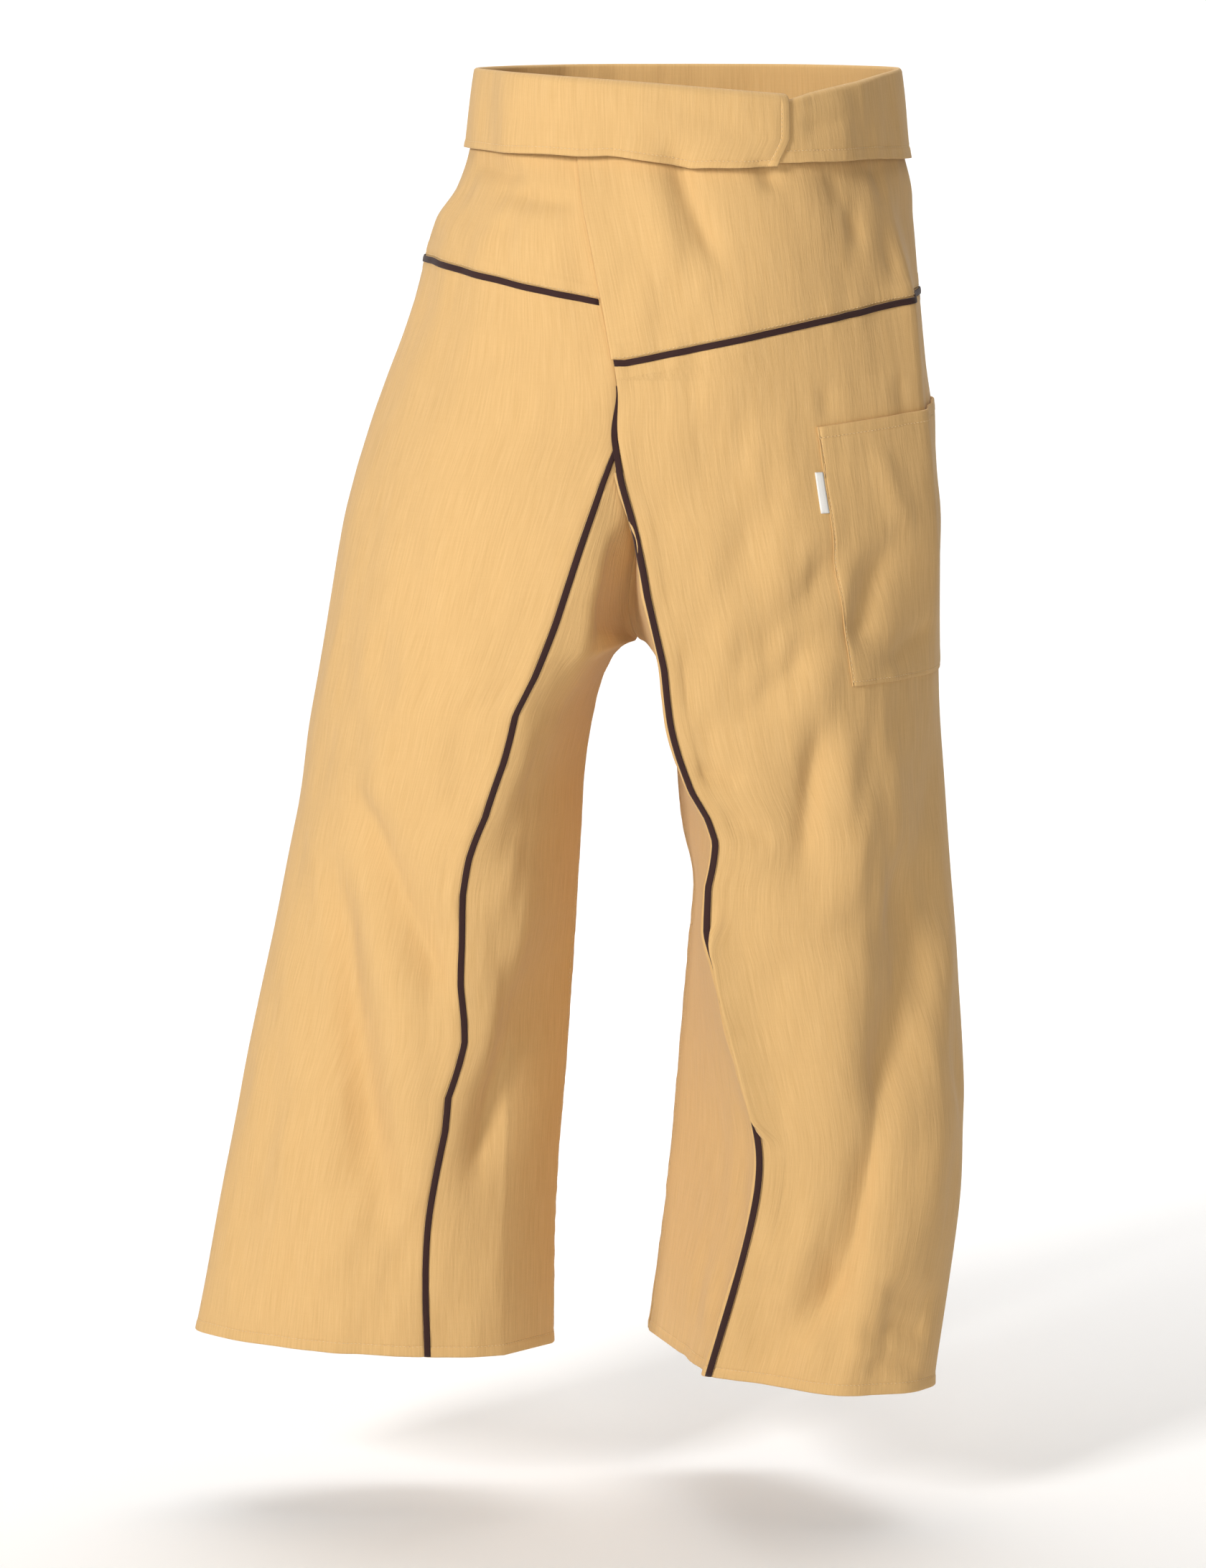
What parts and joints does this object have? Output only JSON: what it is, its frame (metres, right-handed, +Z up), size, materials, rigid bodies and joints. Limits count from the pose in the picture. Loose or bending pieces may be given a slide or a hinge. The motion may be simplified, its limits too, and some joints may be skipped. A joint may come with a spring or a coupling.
{
  "type": "wrap trousers",
  "caption": "Loose wrap trousers with wide legs, a low crotch, a folded-over waist, slanted hip seams, contrast piping and one patch pocket on the side.",
  "frame": {"origin": "centre of the waist opening at the height of the band's ends, where a wearer's waist holds it", "axes": "+X to the wearer's left, +Y to the back, +Z up out of the waist; the front faces -Y"},
  "size_m": [0.5832, 0.2857, 0.9842],
  "materials": {
    "cotton": "matt slub weave",
    "piping": "matt plain weave",
    "label": "satin tape"
  },
  "bodies": {
    "root": {"yoke_right": "cotton", "yoke_left": "cotton", "leg_right": "cotton", "leg_left": "cotton", "gusset_front_right": "cotton", "gusset_front_left": "cotton", "gusset_back_right": "cotton", "gusset_back_left": "cotton", "waistband": "cotton", "waist_tie": "cotton", "tie_knot": "cotton", "pocket": "cotton", "yoke_piping_right": "piping", "yoke_piping_left": "piping", "leg_piping_front_right": "piping", "leg_piping_front_left": "piping", "leg_piping_back_right": "piping", "leg_piping_back_left": "piping", "pocket_tab": "label"}
  },
  "joints": []
}
